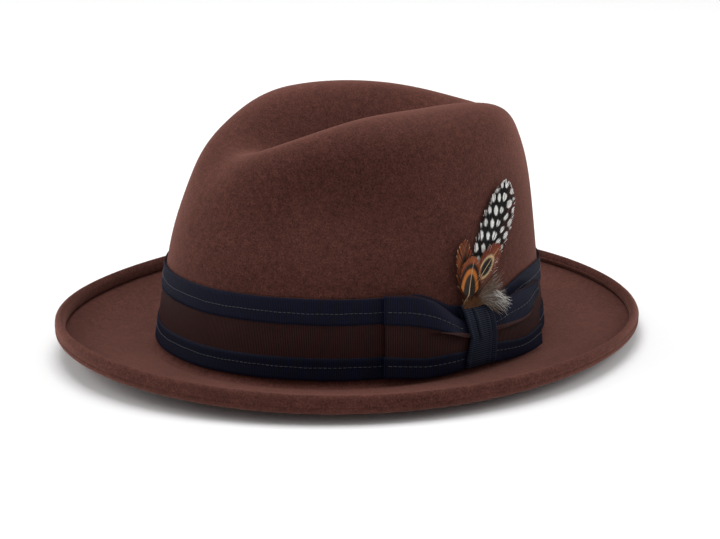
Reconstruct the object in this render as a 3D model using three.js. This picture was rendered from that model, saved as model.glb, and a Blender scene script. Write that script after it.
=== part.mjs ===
// A creased felt fedora with a three-stripe ribbon band, a flat side bow and a tucked-in feather trim.
// Millimetres, +Z up. The front of the hat faces -Y and the wearer's left, the bow side, is +X.
// Every piece is laid out on the hat's own surface: "around" is the angle about the crown (0 front,
// 90 degrees the wearer's left, 180 back), "height" is above the brim and "out" is outward from the felt.

import * as THREE from 'three';

// Driving dimensions
const headLength = 204;            // crown oval at the brim, outside the felt
const headWidth = 176;
const crownHeight = 126.5;         // open crown, before it is creased
const brimSide = 47.5;
const brimEnds = 52.4;
const brimCorners = 2.4;           // how much the brim is drawn in between its sides and its ends
const felt = 2.3;
const edgeHeight = 6.4;            // rolled edge, from the brim's top face
const edgeSway = 1;                // taller at the front and lower at the back by this much
const edgeWidth = 4.6;
const bandLow = 3.8;
const bandWidth = 38.7;
const upperStripe = 12.2;          // navy ribbon along the band's top edge
const lowerStripe = 10.6;
const ribbon = 0.4;                // thickness of one ribbon
const air = 0.25;                  // space between neighbouring layers
const bowReach = 50;               // from the knot to each loop's end
const bowAround = 100.6;           // degrees
const knotWidth = 17.5;
const sweatbandWidth = 38;
const leather = 1;

const degree = Math.PI / 180;
const slices = 60;                 // facets around the hat
const halfLength = headLength / 2;
const halfWidth = headWidth / 2;
const restHeight = felt;           // the brim's root stands on the table on its underside

const model = new THREE.Group();
model.position.z = restHeight;

// Colours and finishes
const finishes = {
  felt: [0x4f332e, 1.0],
  navy: [0x161922, 0.75],
  brown: [0x2a1a19, 0.8],
  thread: [0x4b4f58, 0.7],
  leather: [0x2c1d15, 0.5],
  satin: [0x3b2c24, 0.35],
  tape: [0x1c1715, 0.8],
  vinyl: [0xd8d8d4, 0.15],
  guinea: [0x14120f, 0.7],
  pheasant: [0x8a4a20, 0.65],
  down: [0x8f8372, 0.95],
};

function finish(name) {
  const [color, roughness] = finishes[name];
  return new THREE.MeshStandardMaterial({ color, roughness, metalness: 0, side: THREE.DoubleSide });
}

function add(name, geometry, material) {
  const mesh = new THREE.Mesh(geometry, finish(material));
  mesh.name = name;
  model.add(mesh);
}

// Small curves
const clamp = THREE.MathUtils.clamp;
const lerp = THREE.MathUtils.lerp;
const ease = (value) => THREE.MathUtils.smoothstep(value, 0, 1);
const between = (value, from, to) => ease((value - from) / (to - from));
const hump = (value, width, power = 2) => Math.exp(-Math.pow(Math.abs(value) / width, power));

// The open crown: a superellipse drawn in a little towards the tip.
const wallSquareness = 9;
const tipRoundness = 2.98;
const taper = 0.151;

function openReach(height) {
  const rise = clamp(height / crownHeight, 0, 1) ** (wallSquareness / 2);
  return Math.sqrt(1 - rise * rise) ** (2 / tipRoundness) * (1 - taper * height / crownHeight);
}

// Points at even distances along the open crown's profile, from the brim (0) to the tip (1).
const profileSteps = 800;
const profile = [];
for (let i = 0, travelled = 0; i <= profileSteps; i++) {
  const turn = (i / profileSteps) ** 5 * Math.PI / 2;   // close together low on the steep wall
  const height = i === profileSteps ? crownHeight : crownHeight * Math.sin(turn) ** (2 / wallSquareness);
  const reach = i === profileSteps ? 0 : openReach(height);
  const last = profile.at(-1);
  if (last) travelled += Math.hypot((reach - last.reach) * halfWidth, height - last.height);
  profile.push({ reach, height, travelled });
}

function openCrown(along) {
  const distance = clamp(along, 0, 1) * profile.at(-1).travelled;
  const index = Math.max(1, profile.findIndex((point) => point.travelled >= distance - 1e-9));
  const [before, after] = [profile[index - 1], profile[index]];
  const part = (distance - before.travelled) / (after.travelled - before.travelled);
  return { reach: lerp(before.reach, after.reach, part), height: lerp(before.height, after.height, part) };
}

// How far along the profile a wall height lies.
const alongAt = (height) => profile.find((point) => point.height >= height).travelled
  / profile.at(-1).travelled;

// The crown as blocked by hand: lower at the front, pinched on both sides, creased along the top.
const frontDrop = { share: 0.062, from: 10, to: 90, low: 42, high: 100 };   // only above the band
const pinch = { depth: 13.4, around: 55.3, spread: 30.2, height: 87.2, tall: 24.7 };
const crease = {
  depth: 40.5, halfWidth: 23.6, sharpness: 1.9, low: 60, high: 105,
  atFront: 0.226, frontEnd: -79.5, fullAt: -11.5, lostFrom: 10.1, lostAt: 88.2,
};
const shoulder = { size: 3.15, around: 133.4, spread: 29.5, height: 115, tall: 11.2 };   // back, bow side
const lean = 0.021;
const middleOfTip = 0.5;           // within this share of the oval the sides' shapes fade out

function outward(around) {
  return new THREE.Vector3(Math.sin(around) / halfWidth, -Math.cos(around) / halfLength, 0).normalize();
}

function blocked(reach, openHeight, around) {
  const x = reach * halfWidth * Math.sin(around);
  const y = -reach * halfLength * Math.cos(around);
  const drop = frontDrop.share * between(-y, frontDrop.from, frontDrop.to)
    * between(openHeight, frontDrop.low, frontDrop.high);
  let z = openHeight * (1 - drop);
  const turned = THREE.MathUtils.euclideanModulo(around / degree + 180, 360) - 180;
  const side = Math.abs(turned);
  const pinchHere = pinch.depth * hump(side - pinch.around, pinch.spread)
    * hump(z - pinch.height, pinch.tall) * ease(reach / middleOfTip);
  const shoulderHere = shoulder.size * hump(turned - shoulder.around, shoulder.spread)
    * hump(z - shoulder.height, shoulder.tall) * ease(reach / middleOfTip);
  const point = new THREE.Vector3(x, y, 0).addScaledVector(outward(around), shoulderHere - pinchHere);
  z += shoulderHere;
  const creaseHere = lerp(crease.atFront, 1, between(point.y, crease.frontEnd, crease.fullAt))
    * (1 - between(point.y, crease.lostFrom, crease.lostAt));
  z -= crease.depth * creaseHere * hump(point.x, crease.halfWidth, crease.sharpness)
    * between(z, crease.low, crease.high);
  return point.set(point.x, point.y + lean * openHeight, z);
}

// A point of the crown, "deep" millimetres in from the felt's outer face.
const nudge = 0.004;

function crownPoint(along, around, deep = 0) {
  const at = (step, turn) => {
    const open = openCrown(along + step);
    return blocked(open.reach, open.height, around + turn);
  };
  const point = at(0, 0);
  if (!deep) return point;
  const tip = along >= 1;
  const across = (turn) => at(-nudge, turn - around);
  const up = tip ? across(Math.PI).sub(across(0)) : at(nudge, 0).sub(at(-nudge, 0));
  const round = tip ? across(-Math.PI / 2).sub(across(Math.PI / 2)) : at(0, nudge).sub(at(0, -nudge));
  return point.addScaledVector(round.cross(up).normalize(), -deep);
}

// A point beside the crown's wall, from its height and its distance out from the felt.
function wallPoint(around, height, out) {
  return blocked(openReach(Math.max(height, 0)), Math.max(height, 0), around)
    .addScaledVector(outward(around), out)
    .add(new THREE.Vector3(0, 0, Math.min(height, 0)));
}

// Rise of the brim's edge above its root: most on the side away from the bow, and at the front.
const meanRise = 8.4;
const riseWaves = [[0.6, -3.2], [0.2, 0.65], [1.6, -0.6]];
const spring = 1.2;                // the brim leaves the crown level and rises towards its edge

const brimRise = (around) => riseWaves.reduce((rise, [cosine, sine], i) =>
  rise + cosine * Math.cos((i + 1) * around) + sine * Math.sin((i + 1) * around), meanRise);

// A point of the brim, "out" millimetres from the crown and "height" above the brim's own top face.
function brimPoint(around, out, height) {
  const share = Math.max(out / brimSide, 0);
  const stretch = out * lerp(1, brimEnds / brimSide, Math.cos(around) ** 2)
    - brimCorners * share * Math.sin(2 * around) ** 2;
  return new THREE.Vector3((halfWidth + stretch) * Math.sin(around),
    -(halfLength + stretch) * Math.cos(around), height + brimRise(around) * share ** spring);
}

// Turns a geometry right side out.
function facedOut(geometry) {
  const position = geometry.attributes.position;
  const corner = (i) => new THREE.Vector3().fromBufferAttribute(position, i);
  const index = geometry.index ?? [...Array(position.count).keys()];
  const order = Array.from(geometry.index ? index.array : index);
  let volume = 0;
  for (let i = 0; i < order.length; i += 3) {
    volume += corner(order[i]).dot(corner(order[i + 1]).cross(corner(order[i + 2])));
  }
  if (volume < 0) {
    for (let i = 0; i < order.length; i += 3) [order[i], order[i + 1]] = [order[i + 1], order[i]];
  }
  geometry.setIndex(order);
  geometry.computeVertexNormals();
  return geometry;
}

// Moves every vertex of a geometry by a rule.
function shaped(geometry, rule) {
  const position = geometry.attributes.position;
  const point = new THREE.Vector3();
  for (let i = 0; i < position.count; i++) {
    const moved = rule(point.fromBufferAttribute(position, i), i);
    position.setXYZ(i, moved.x, moved.y, moved.z);
  }
  return facedOut(geometry);
}

// A ring or cap round the hat: a lathe whose rows are rules from an angle to a point.
function revolved(rows) {
  const outline = rows.map((row) => {
    const start = row(0);
    return new THREE.Vector2(Math.max(-start.y, 0), start.z);
  });
  const lathe = new THREE.LatheGeometry(outline, slices);
  return shaped(lathe, (point, i) => {
    const around = Math.floor(i / rows.length) % slices * 360 / slices * degree;
    return rows[i % rows.length](around);
  });
}

// Places beside the bow: "across" is the distance behind the knot's middle, measured round the wall.
const wallRadius = 100;
const besideKnot = (across, height, out) => wallPoint(bowAround * degree + across / wallRadius, height, out);
const acrossAt = (around) => wallRadius * degree
  * (THREE.MathUtils.euclideanModulo(around / degree - bowAround + 180, 360) - 180);

// A closed ring of four-cornered section beside the wall.
function wallRing(low, high, inner, outer) {
  const corners = [[low, inner], [low, outer], [high, outer], [high, inner], [low, inner]];
  return revolved(corners.map(([height, out]) => (around) => wallPoint(around, height, out)));
}

// A strip beside the wall between two angles, leaning out or in by "slope" at its top.
// "level" may move its heights up or down on the way round.
function wallStrip(from, to, low, high, inner, outer,
  { slope = 0, rows = 1, level = (around, height) => height } = {}) {
  const pieces = Math.max(1, Math.round(Math.abs(to - from) / (360 / slices)));
  return shaped(new THREE.BoxGeometry(1, 1, 1, pieces, rows, 1), (point) => {
    const up = point.y + 0.5;
    const out = lerp(inner, outer, point.z + 0.5) + slope * up;
    const around = lerp(from, to, point.x + 0.5) * degree;
    return wallPoint(around, level(around, lerp(low, high, up)), out);
  });
}

// The felt's rows up the crown: beside the ribbons, and then evenly to the tip.
function crownRows() {
  const rows = [1, 2, 3].map((third) => alongAt(bandLow + third / 3 * bandWidth));
  const rowsToTip = 9;
  for (let i = 1; i <= rowsToTip; i++) rows.push(lerp(rows[2], 1, i / rowsToTip));
  return rows;
}

// Felt body: one blocked piece, crown, brim and rolled edge
function feltBody() {
  const outside = [];
  const inside = [];
  for (const along of crownRows()) {
    outside.push((around) => crownPoint(along, around));
    inside.push((around) => crownPoint(along, around, felt));
  }
  const turn = 3.4;                // radius of the rolled edge's outer corner
  const edge = brimSide;
  const roll = edge - edgeWidth;
  const foot = 1.2;                // the flat ring that the hat rests on, out from the crown
  const heel = 6;
  const edgeTop = (out, below) => (around) =>
    brimPoint(around, out, edgeHeight + edgeSway * Math.cos(around) - below);
  const onBrim = (out, height) => (around) => brimPoint(around, out, height);
  const rim = [
    onBrim(20, -felt), onBrim(36, -felt), onBrim(edge - turn, -felt),
    onBrim(edge - turn * 0.3, turn * 0.3 - felt), onBrim(edge, turn - felt),
    edgeTop(edge, 2), edgeTop(edge - 0.8, 0.5), edgeTop(edge - edgeWidth / 2, 0),
    edgeTop(roll + 0.8, 0.8), edgeTop(roll, 2.4), onBrim(roll, 0.8), onBrim(roll - 0.6, 0),
    onBrim(34, 0), onBrim(18, 0), onBrim(4.2, 0), onBrim(1.9, 0.4),
  ];
  const flatRest = (out) => (around) => brimPoint(around, out, 0).setZ(-felt);
  const root = [
    (around) => wallPoint(around, 1.5, -felt),
    (around) => wallPoint(around, -1.6, -felt + 0.4),
    flatRest(foot),
    flatRest(heel),
  ];
  const fillet = [
    (around) => wallPoint(around, 1.6, 0.5),
    (around) => wallPoint(around, 3.4, 0),
  ];
  return revolved([...inside.reverse(), ...root, ...rim, ...fillet, ...outside]);
}

// Hatband: a brown ribbon with a navy ribbon sewn along each edge, its ends meeting behind the bow
const bandHigh = bandLow + bandWidth;
const upperLow = bandHigh - upperStripe;
const lowerHigh = bandLow + lowerStripe;
const upperStitch = bandHigh - 6.7;
const lowerStitch = bandLow + 6.2;
const stitch = 0.5;
const brownInner = air;
const navyInner = brownInner + ribbon + air;
const threadInner = navyInner + ribbon + air;
const threadOuter = threadInner + 0.25;

// The knot draws the band's top edge down to its own height; behind it the edge rises again slowly.
const drawn = { high: 34, from: 9, untilInFront: 33, untilBehind: 84 };

function bandLevel(around, height) {
  const across = acrossAt(around);
  const until = across < 0 ? drawn.untilInFront : drawn.untilBehind;
  const top = lerp(drawn.high, bandHigh, between(Math.abs(across), drawn.from, until));
  return lerp(bandLow, top, (height - bandLow) / bandWidth);
}

function hatband() {
  const meet = 0.3;                // half the gap where the ribbon's ends meet, in degrees
  const threadStop = 8;            // the stitching stops short of the knot
  const start = bowAround + meet;
  const stop = bowAround + 360 - meet;
  const level = bandLevel;
  add('band_ribbon_brown', wallStrip(start, stop, bandLow, bandHigh, brownInner,
    brownInner + ribbon, { rows: 3, level }), 'brown');
  add('band_ribbon_navy_upper', wallStrip(start, stop, upperLow, bandHigh, navyInner,
    navyInner + ribbon, { level }), 'navy');
  add('band_ribbon_navy_lower', wallStrip(start, stop, bandLow, lowerHigh, navyInner,
    navyInner + ribbon, { level }), 'navy');
  for (const [name, height] of [['upper', upperStitch], ['lower', lowerStitch]]) {
    add(`band_thread_${name}`, wallStrip(start + threadStop, stop - threadStop, height - stitch / 2,
      height + stitch / 2, threadInner, threadOuter, { level }), 'thread');
  }
}

// Bow: the same striped ribbon folded into two flat loops, drawn in at its waist by the knot
const bowBack = 3.05;              // distance from the felt to the back of the loops
const bowDeep = 2.4;               // from the loops' back to their front

// Height on the bow of a place on its flat ribbon: the ribbon is gathered in towards the knot, and
// the loop behind the knot hangs lower than the one in front.
const waistTop = 27;
const loopTop = { inFront: 43.3, behind: 38.5 };
const loopBottom = 3.3;

function waisted(across, height) {
  const inFront = across < 0;
  const beside = Math.abs(across);
  const top = inFront ? lerp(waistTop, loopTop.inFront, between(beside, 4, 31))
    : lerp(waistTop, loopTop.behind, between(beside, 4, 48));
  const sag = 0.9 * hump(beside - 27, 12);
  const lift = 1.4 * hump(beside, 10.5, 8) + (inFront ? 1.4 * between(beside, 34, 48) : 0);
  return lerp(loopBottom - sag + lift, top, (height - bandLow) / bandWidth);
}

// The loop behind the knot stands away from the band, and the loop in front of it lies close.
const bowStand = (across) => 1.6 * between(across, 10, 40) - between(-across, 12, 42);

// A closed loop of ribbon between two outlines, which "place" puts on the hat at each of its edges.
function ribbonLoop(outer, inner, edges, place) {
  const back = edges.toReversed();
  const corners = [...edges.map((edge) => [outer, edge]), ...back.map((edge) => [inner, edge])];
  const stations = outer.length;
  const torus = new THREE.TorusGeometry(2, 1, corners.length, stations);
  return shaped(torus, (point, i) => {
    const [outline, edge] = corners[Math.floor(i / (stations + 1)) % corners.length];
    const [x, y] = outline[i % (stations + 1) % stations];
    return place(x, y, edge);
  });
}

// The outline of a flat loop, "inset" in from the bow's outermost layer.
function bowOutline(inset) {
  const reach = bowReach - inset;
  const [back, front] = [bowBack + inset, bowBack + bowDeep - inset];
  const widestBend = 0.9;
  const bend = Math.min((front - back) / 2, widestBend);
  const pieces = 14;
  const across = [...Array(pieces + 1).keys()].map((i) => lerp(-reach + bend, reach - bend, i / pieces));
  return [...across.map((x) => [x, back]), [reach, back + bend],
    ...across.toReversed().map((x) => [x, front]), [-reach, front - bend]];
}

function bowLoop(heights, inset) {
  return ribbonLoop(bowOutline(inset), bowOutline(inset + ribbon), heights,
    (across, out, height) => besideKnot(across, waisted(across, height), out + bowStand(across)));
}

function bow() {
  const upper = [upperLow, upperLow + upperStripe / 2, bandHigh];
  const lower = [bandLow, lowerHigh];
  add('bow_ribbon_navy_upper', bowLoop(upper, 0), 'navy');
  add('bow_ribbon_navy_lower', bowLoop(lower, 0), 'navy');
  add('bow_ribbon_brown', bowLoop([...lower, ...upper], ribbon + air), 'brown');
  const front = bowBack + bowDeep + air;
  const [farEnd, nearEnd] = [bowReach - 1.5, knotWidth / 2 + 1];
  for (const [end, from, to] of [['front', -farEnd, -nearEnd], ['back', nearEnd, farEnd]]) {
    for (const [edge, height] of [['upper', upperStitch], ['lower', lowerStitch]]) {
      add(`bow_thread_${end}_${edge}`, shaped(new THREE.BoxGeometry(1, 1, 1, 10, 1, 1), ({ x, y, z }) => {
        const across = lerp(from, to, x + 0.5);
        const out = front + bowStand(across) + 0.25 * (z + 0.5);
        return besideKnot(across, waisted(across, height) + y * stitch, out);
      }), 'thread');
    }
  }
}

// Knot: a navy ribbon wrapped once round the bow's waist
const knotLow = 3.6;
const knotHigh = 34.2;
const knotBack = 2.4;              // distance from the felt to the knot's back and to its front
const knotFront = 6.7;

function knotOutline(inset) {
  const [low, high] = [knotLow + inset, knotHigh - inset];
  const [back, front] = [knotBack + inset, knotFront - inset];
  const flank = front - 0.55;
  const corner = 2.4;
  return [[low, back], [high, back], [high, flank], [high - corner, front - 0.15],
    [(low + high) / 2, front], [low + corner, front - 0.15], [low, flank]];
}

function knot() {
  add('bow_knot', ribbonLoop(knotOutline(0), knotOutline(ribbon), [-knotWidth / 2, 0, knotWidth / 2],
    (height, out, across) => besideKnot(across, height, out)), 'navy');
  const threadAside = 4.7;
  const threadMiddle = 19;
  const threadLength = 26;
  for (const [name, across] of [['front', -threadAside], ['back', threadAside]]) {
    add(`knot_thread_${name}`, shaped(new THREE.BoxGeometry(1, 1, 1, 1, 4, 1), ({ x, y, z }) => {
      const out = knotFront + air + 0.25 * (z + 0.5) - 0.3 * Math.abs(y);
      return besideKnot(across + x * stitch, threadMiddle + y * threadLength, out);
    }), 'thread');
  }
}

// Feather trim: quills bound together and tucked down behind the knot
const quillOut = 1.6;
const bindingHigh = 20;
const vaneStart = 36;              // height at which the feathers come free of the knot

// One feather: a bare quill up behind the knot, then a leaf-shaped vane.
function feather({ foot, spread, top, width, out, blunt = 0.5 }) {
  const quillWidth = 0.9;
  const thick = 0.5;
  const downy = 0.16;              // share of the vane, from its foot, that is as narrow as the quill
  const quillShare = (vaneStart - bindingHigh) / (top - bindingHigh);
  return shaped(new THREE.BoxGeometry(1, 1, 1, 2, 14, 1), ({ x, y, z }) => {
    const along = y + 0.5;
    const height = lerp(bindingHigh + 0.3, top, along);
    const vane = clamp((along - quillShare) / (1 - quillShare), 0, 1);
    const web = clamp((vane - downy) / (1 - downy), 0, 1);
    const wide = quillWidth + (width - quillWidth) * Math.max(Math.sin(Math.PI * web ** blunt), 0) ** 0.8;
    const across = foot + (spread - foot) * vane ** 1.1 + x * wide;
    const stand = lerp(quillOut, out, ease(vane * 6)) + 0.003 * across * across * ease(vane * 2);
    return besideKnot(across, height, stand + thick * (z + 0.5));
  });
}

function feathers() {
  const vanes = [
    ['guinea', 'guinea', { foot: -2.5, spread: 29.5, top: 88.5, width: 23, out: 1.6 }],
    ['pheasant_left', 'pheasant', { foot: -7, spread: -3, top: 64.5, width: 11, out: 2.9 }],
    ['pheasant_right', 'pheasant', { foot: -4, spread: 17, top: 59, width: 12, out: 4 }],
    ['pheasant_middle', 'pheasant', { foot: -5.5, spread: -1, top: 57, width: 13, out: 5.1 }],
    ['down', 'down', { foot: -1, spread: 18, top: 45, width: 11, out: 6.4 }],
  ];
  for (const [name, material, shape] of vanes) add(`feather_${name}`, feather(shape), material);
  const bindingMiddle = -4;
  const bindingWidth = 9;
  const bindingTall = 10;
  const bindingThick = 0.45;
  const bindingOut = quillOut + air;
  add('feather_binding', shaped(new THREE.BoxGeometry(1, 1, 1, 4, 3, 1), ({ x, y, z }) =>
    besideKnot(bindingMiddle + x * bindingWidth, bindingHigh + (y - 0.5) * bindingTall,
      bindingOut + bindingThick * z)), 'tape');
}

// Sweatband: a leather strip whose sewn lower edge carries a piped tape
function sweatband() {
  const face = -felt - 1.0;        // the leather's back at its sewn edge
  const slope = -0.8;
  const backSeam = 0.25;
  add('sweatband_leather', wallStrip(180 + backSeam, 540 - backSeam, 0.3, sweatbandWidth, face - leather,
    face, { slope }), 'leather');
  const reedRadius = 0.8;
  const reed = [];
  for (let i = 0; i < 6; i++) {
    const turn = i / 6 * 2 * Math.PI;
    const height = -0.85 + reedRadius * Math.sin(turn);
    const out = face - 0.4 + reedRadius * Math.cos(turn);
    reed.push((around) => wallPoint(around, height, out));
  }
  add('sweatband_reed', revolved([...reed, reed[0]]), 'tape');
  add('sweatband_tape', wallRing(0.4, 9, -felt - 0.65, -felt - 0.3), 'tape');
  const threadFace = face - leather - air;
  add('sweatband_thread', wallStrip(184, 536, 2.6, 2.6 + stitch, threadFace - 0.3, threadFace), 'thread');
  add('sweatband_seam_thread', wallStrip(179, 181, 16, 36, threadFace - 0.9, threadFace - 0.6), 'thread');
  add('sweatband_bow', shaped(new THREE.BoxGeometry(1, 1, 1, 8, 2, 1), ({ x, y, z }) => {
    const tall = 3.2 + 5.5 * ease(Math.abs(x) * 5);
    const out = threadFace - 0.6 - 1.6 * (z + 0.5);
    return wallPoint(180 * degree + x * 22 / wallRadius, 9 + y * tall, out);
  }), 'satin');
}

// Lining: a satin side band and an oval tip, with a clear shield sewn under the tip
function lining() {
  const cloth = 0.35;
  const vinyl = 0.3;
  const deep = felt + 0.6;
  const belowTip = deep + cloth + 0.9;
  const rows = crownRows();
  const seam = 8;                  // the row where the tip is sewn to the side band
  const seamGap = 0.004;
  const sheet = (places, depth, thick) => {
    const layer = (at) => places.map((along) => (around) => crownPoint(along, around, at));
    const [top, bottom] = [layer(depth).reverse(), layer(depth + thick)];
    return places.at(-1) === 1 ? revolved([...top, ...bottom]) : revolved([...top, ...bottom, top[0]]);
  };
  add('lining_side', sheet([...rows.slice(1, seam), rows[seam] - seamGap], deep, cloth), 'satin');
  add('lining_tip', sheet([rows[seam] + seamGap, ...rows.slice(seam + 1)], deep, cloth), 'satin');
  add('lining_shield', sheet(rows.slice(seam + 1), belowTip, vinyl), 'vinyl');
  const cord = [0, 1, 2, 3].map((corner) => {
    const turn = corner / 4 * 2 * Math.PI;
    return (around) => crownPoint(rows[seam] + 0.0045 * Math.cos(turn), around,
      belowTip + 0.1 + 0.6 * Math.sin(turn));
  });
  add('lining_piping', revolved([...cord, cord[0]]), 'satin');
}

add('felt_body', feltBody(), 'felt');
hatband();
bow();
knot();
feathers();
sweatband();
lining();

export default model;
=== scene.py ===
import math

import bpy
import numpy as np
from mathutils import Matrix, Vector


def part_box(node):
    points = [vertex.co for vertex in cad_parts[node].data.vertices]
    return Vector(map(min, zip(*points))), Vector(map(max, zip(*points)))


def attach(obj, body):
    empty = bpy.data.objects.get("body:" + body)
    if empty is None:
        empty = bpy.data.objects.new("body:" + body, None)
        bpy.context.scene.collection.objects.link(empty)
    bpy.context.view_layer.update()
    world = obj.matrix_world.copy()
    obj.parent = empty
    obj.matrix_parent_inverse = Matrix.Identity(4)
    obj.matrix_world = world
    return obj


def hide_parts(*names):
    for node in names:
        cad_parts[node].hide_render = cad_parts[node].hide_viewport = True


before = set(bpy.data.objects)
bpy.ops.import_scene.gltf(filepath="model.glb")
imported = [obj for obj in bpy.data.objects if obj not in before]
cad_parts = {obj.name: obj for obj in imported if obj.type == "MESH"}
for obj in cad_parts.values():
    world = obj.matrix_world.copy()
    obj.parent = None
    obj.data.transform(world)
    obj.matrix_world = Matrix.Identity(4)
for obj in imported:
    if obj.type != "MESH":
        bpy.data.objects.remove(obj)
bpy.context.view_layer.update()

# A creased felt fedora with a three-stripe ribbon band, a flat side bow and a tucked-in feather trim.
# Shapes are worked out in millimetres above the brim's top face, as the CAD is: "around" is the angle
# about the crown (0 front, 90 degrees the wearer's left, 180 back), "across" is the distance behind the
# knot's middle, and "out" is outward from the felt. Meshes are written in metres, in the CAD's frame.

MM = 0.001
DEGREE = math.pi / 180
random = np.random.default_rng(11)

# ---- driving dimensions, as in the CAD

HEAD_LENGTH = 204
HEAD_WIDTH = 176
CROWN_HEIGHT = 126.5
BRIM_SIDE = 47.5
BRIM_ENDS = 52.4
BRIM_CORNERS = 2.4
MEAN_RISE = 8.4
RISE_WAVES = ((0.6, -3.2), (0.2, 0.65), (1.6, -0.6))
FELT = 2.3
EDGE_HEIGHT = 6.4
EDGE_SWAY = 1
EDGE_WIDTH = 4.6
RIBBON = 0.4
AIR = 0.25
BOW_AROUND = 100.6 * DEGREE
BOW_REACH = 50
KNOT_WIDTH = 17.5
WALL_RADIUS = 100


def heights_of(node):
    """Lowest and highest point of a CAD node, above the brim's top face."""
    return [corner[2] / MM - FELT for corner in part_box(node)]


BAND_LOW, BAND_HIGH = heights_of("band_ribbon_brown")
NAVY_WIDTH = 12.2
UPPER_LOW = BAND_HIGH - NAVY_WIDTH
LOWER_HIGH = heights_of("band_ribbon_navy_lower")[1]
HALF_THREAD = 0.25
UPPER_STITCH = heights_of("band_thread_upper")[1] - HALF_THREAD
LOWER_STITCH = heights_of("band_thread_lower")[1] - HALF_THREAD

# ---- small curves


def hump(value, width, power=2):
    return np.exp(-np.abs(np.asarray(value) / width) ** power)


def ease(value):
    value = np.clip(value, 0, 1)
    return value * value * (3 - 2 * value)


def mix(first, second, share):
    return first + (second - first) * share


def unit(vectors):
    return vectors / np.maximum(np.linalg.norm(vectors, axis=-1, keepdims=True), 1e-12)


# ---- the hat's own surface

WALL_SQUARENESS = 9
TIP_ROUNDNESS = 2.98
TAPER = 0.151


def open_reach(height):
    rise = np.clip(height / CROWN_HEIGHT, 0, 1) ** (WALL_SQUARENESS / 2)
    return np.sqrt(1 - rise * rise) ** (2 / TIP_ROUNDNESS) * (1 - TAPER * height / CROWN_HEIGHT)


def open_profile():
    """Reach, height and share of the way from brim to tip, for many points of the open crown."""
    turn = np.linspace(0, 1, 3001) ** 4 * np.pi / 2
    height = CROWN_HEIGHT * np.sin(turn) ** (2 / WALL_SQUARENESS)
    reach = open_reach(height)
    reach[-1] = 0
    step = np.hypot(np.diff(reach) * HEAD_WIDTH / 2, np.diff(height))
    travelled = np.concatenate([[0], np.cumsum(step)])
    return reach, height, travelled / travelled[-1]


PROFILE_REACH, PROFILE_HEIGHT, PROFILE_SHARE = open_profile()


def open_crown(along):
    return np.interp(along, PROFILE_SHARE, PROFILE_REACH), np.interp(along, PROFILE_SHARE, PROFILE_HEIGHT)


def along_at(height):
    return float(np.interp(height, PROFILE_HEIGHT, PROFILE_SHARE))


FRONT_DROP = 0.062
DROP_START = 42
PINCH = {"depth": 13.4, "around": 55.3, "spread": 30.2, "height": 87.2, "tall": 24.7}
CREASE = {"depth": 40.5, "half_width": 23.6, "sharpness": 1.9, "at_front": 0.226,
          "front_end": -79.5, "full_at": -11.5, "lost_from": 10.1, "lost_at": 88.2}
SHOULDER = {"size": 3.15, "around": 133.4, "spread": 29.5, "height": 115, "tall": 11.2}
LEAN = 0.021


def outward(around):
    ray = np.stack([np.sin(around) / HEAD_WIDTH, -np.cos(around) / HEAD_LENGTH, 0 * around], axis=-1)
    return unit(ray)


def blocked(reach, open_height, around):
    """The crown as blocked by hand: lower at the front, pinched on both sides, creased along the top."""
    reach, open_height, around = np.broadcast_arrays(reach, open_height, around)
    x = reach * HEAD_WIDTH / 2 * np.sin(around)
    y = -reach * HEAD_LENGTH / 2 * np.cos(around)
    z = open_height * (1 - FRONT_DROP * ease((-y - 10) / 80) * ease((open_height - DROP_START) / 58))
    turned = np.mod(around / DEGREE + 180, 360) - 180
    side = np.abs(turned)
    pinch = PINCH["depth"] * hump(side - PINCH["around"], PINCH["spread"])
    pinch = pinch * hump(z - PINCH["height"], PINCH["tall"]) * ease(reach / 0.5)
    shoulder = SHOULDER["size"] * hump(turned - SHOULDER["around"], SHOULDER["spread"])
    shoulder = shoulder * hump(z - SHOULDER["height"], SHOULDER["tall"]) * ease(reach / 0.5)
    z = z + shoulder
    point = np.stack([x, y, z], axis=-1) + outward(around) * (shoulder - pinch)[..., None]
    onward = (point[..., 1] - CREASE["front_end"]) / (CREASE["full_at"] - CREASE["front_end"])
    back = (point[..., 1] - CREASE["lost_from"]) / (CREASE["lost_at"] - CREASE["lost_from"])
    crease = mix(CREASE["at_front"], 1, ease(onward)) * (1 - ease(back))
    across = hump(point[..., 0], CREASE["half_width"], CREASE["sharpness"])
    point[..., 2] -= CREASE["depth"] * crease * across * ease((z - 60) / 45)
    point[..., 1] += LEAN * open_height
    return point


def crown_point(along, around, deep=0.0):
    """A point of the crown, "deep" millimetres in from the felt's outer face."""
    nudge = 0.004

    def at(step, turn):
        return blocked(*open_crown(along + step), around + turn)

    normal = unit(np.cross(at(0, nudge) - at(0, -nudge), at(nudge, 0) - at(-nudge, 0)))
    return at(0, 0) - normal * np.asarray(deep)[..., None]


def wall_point(around, height, out):
    """A point beside the crown's wall, from its height and its distance out from the felt."""
    around, height, out = np.broadcast_arrays(*[np.asarray(v, float) for v in (around, height, out)])
    above = np.maximum(height, 0)
    point = blocked(open_reach(above), above, around) + outward(around) * out[..., None]
    point[..., 2] += np.minimum(height, 0)
    return point


def brim_point(around, out, height):
    """A point of the brim, "out" millimetres from the crown and "height" above the brim's own top face."""
    rise = MEAN_RISE
    for turns, (cosine, sine) in enumerate(RISE_WAVES, 1):
        rise = rise + cosine * np.cos(turns * around) + sine * np.sin(turns * around)
    share = max(out / BRIM_SIDE, 0)
    stretch = out * mix(1, BRIM_ENDS / BRIM_SIDE, np.cos(around) ** 2)
    stretch = stretch - BRIM_CORNERS * share * np.sin(2 * around) ** 2
    return np.stack([(HEAD_WIDTH / 2 + stretch) * np.sin(around),
                     -(HEAD_LENGTH / 2 + stretch) * np.cos(around), height + rise * share ** 1.2], axis=-1)


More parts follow.
